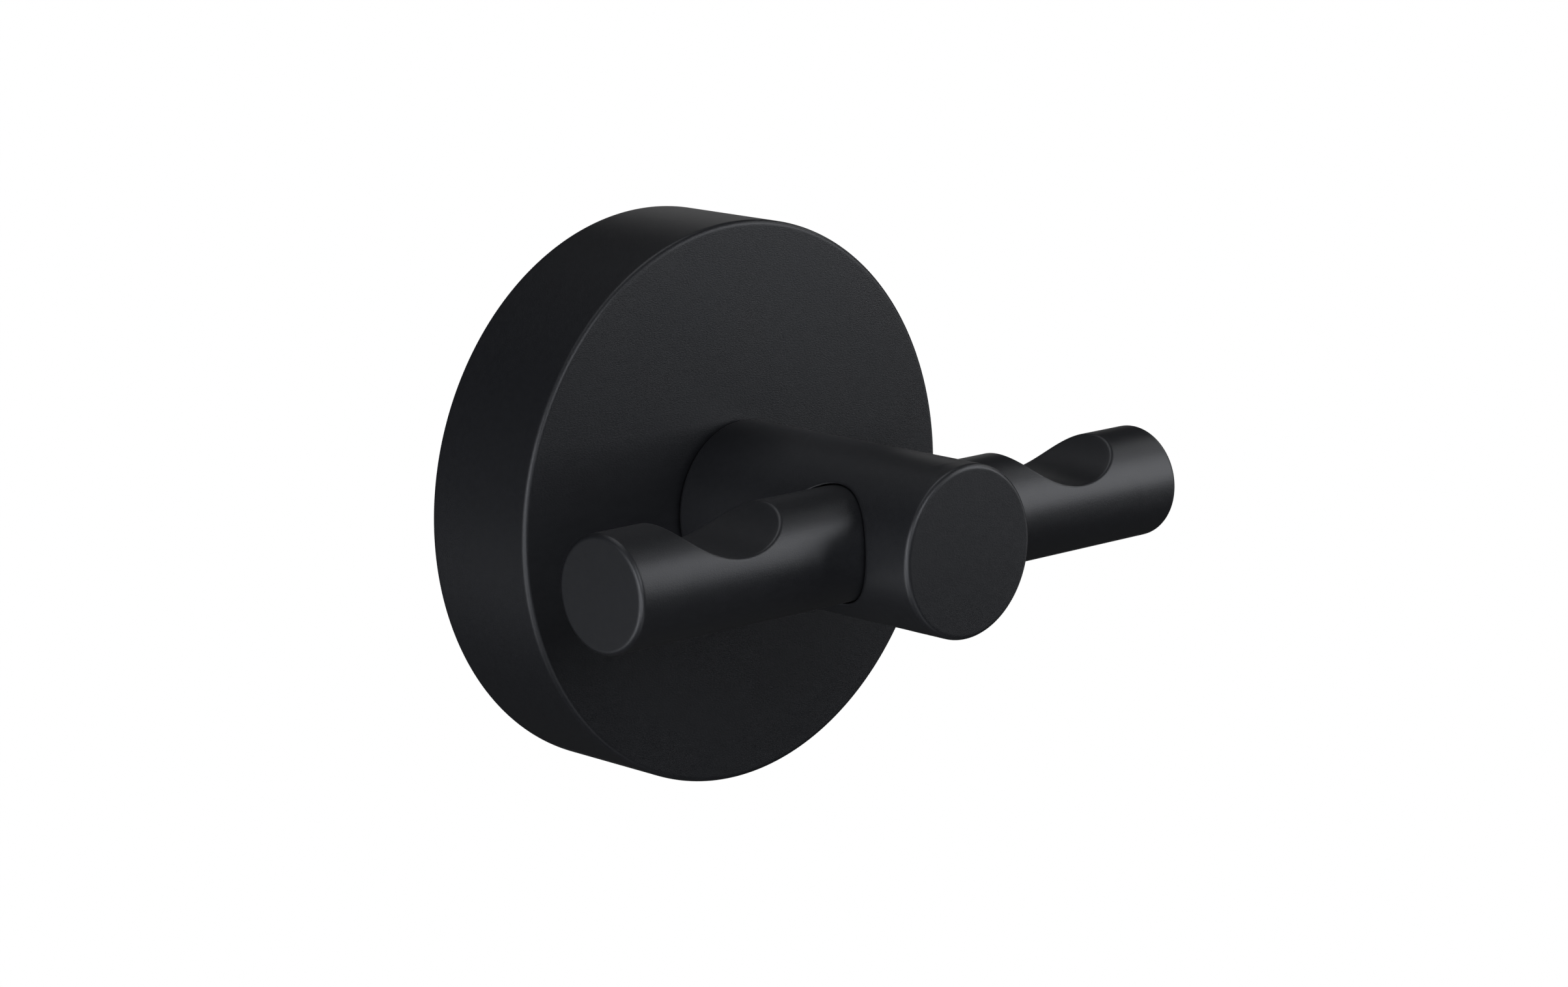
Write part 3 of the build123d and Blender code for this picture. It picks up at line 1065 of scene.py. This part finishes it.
# the key light is a panel close by at the right, and the fill goes round the front, left and back
soft_light("key_panel", 50, 20, 280, 130, 200, 0.306)
soft_light("low_right", 70, -12, 600, 160, 160, 0.101)
soft_light("side_right", 90, 30, 600, 160, 160, 0.223)
soft_light("fill_front_high", -15, 30, 600, 300, 300, 1.35)
soft_light("fill_front_low", -44, -15, 600, 300, 300, 1.16)
soft_light("fill_below", 0, -40, 600, 300, 300, 0.297)
soft_light("fill_left", -72, 10, 600, 300, 300, 1.59)
soft_light("side_left_low", -90, -26, 600, 300, 300, 1.11)
soft_light("side_left", -100, 10, 600, 300, 300, 0.297)
soft_light("behind_left_low", -120, -26, 600, 300, 300, 0.225)
soft_light("rim_high_left", -121, 64, 600, 300, 300, 0.318)
soft_light("rim_high_behind", 154, 73, 600, 300, 300, 0.477)
soft_light("rim_right_behind", 138, 14, 600, 160, 160, 0.0445)
soft_light("fixings_behind", 180, 0, 55, 8, 8, 0.0038)


# background
def white_for_eye(tree, plain, rays):
    """A mix that shows plain white to the named kinds of ray, and the plain shader to the others."""
    path = tree.nodes.new("ShaderNodeLightPath")
    mask = path.outputs[rays[0]]
    for ray in rays[1:]:
        mask = math_node(tree, "MAXIMUM", mask, path.outputs[ray])
    white = tree.nodes.new("ShaderNodeBackground" if tree.nodes.get("World Output") else "ShaderNodeEmission")
    white.inputs["Color"].default_value = (1, 1, 1, 1)
    mix = tree.nodes.new("ShaderNodeMixShader")
    tree.links.new(mask, mix.inputs["Fac"])
    tree.links.new(plain, mix.inputs[1])
    tree.links.new(white.outputs[0], mix.inputs[2])
    return mix.outputs["Shader"]


world = bpy.data.worlds.new("studio")
bpy.context.scene.world = world
world.use_nodes = True
tree = world.node_tree
studio = tree.nodes["Background"]
studio.inputs["Color"].default_value = (1, 1, 1, 1)
studio.inputs["Strength"].default_value = 0.004
shown = white_for_eye(tree, studio.outputs["Background"], ["Is Camera Ray", "Is Transmission Ray"])
tree.links.new(shown, tree.nodes["World Output"].inputs["Surface"])


def stage_plane(name, centre, across, upwards, width, height, material):
    """A flat rectangle of the studio, given by its centre and its two directions."""
    corners = np.array([(-1, -1), (1, -1), (1, 1), (-1, 1)]) / 2
    points = centre + corners[:, :1] * width * across + corners[:, 1:] * height * upwards
    mesh = bpy.data.meshes.new(name)
    mesh.from_pydata(points * MM, [], [(0, 1, 2, 3)])
    mesh.materials.append(material)
    plane = bpy.data.objects.new(name, mesh)
    bpy.context.scene.collection.objects.link(plane)


def pale_paint(name, rays):
    """Pale matt paint that looks white to the named kinds of ray."""
    finish = Finish(name, 0.9)
    tree = finish.tree
    finish.colour(noise(tree, finish.place, 30.0, 3.0, 0.5), (0.78, 0.78, 0.77), (0.82, 0.82, 0.82))
    shown = white_for_eye(tree, finish.shader.outputs["BSDF"], rays)
    tree.links.new(shown, tree.nodes["Material Output"].inputs["Surface"])
    return finish.material


behind = -np.array(towards(camera_turn, camera_lift))
sideways = unit(np.cross([0, 0, 1], -behind))
backdrop_paint = pale_paint("backdrop_paint", ["Is Camera Ray", "Is Glossy Ray", "Is Transmission Ray"])
stage_plane("backdrop", 900 * behind, sideways, np.cross(-behind, sideways), 490, 315, backdrop_paint)
floor_paint = pale_paint("floor_paint", ["Is Camera Ray", "Is Transmission Ray"])
stage_plane("floor", (0, -1000, -1500), (1, 0, 0), (0, 1, 0), 6000, 6000, floor_paint)

bpy.context.scene.view_settings.view_transform = "Standard"
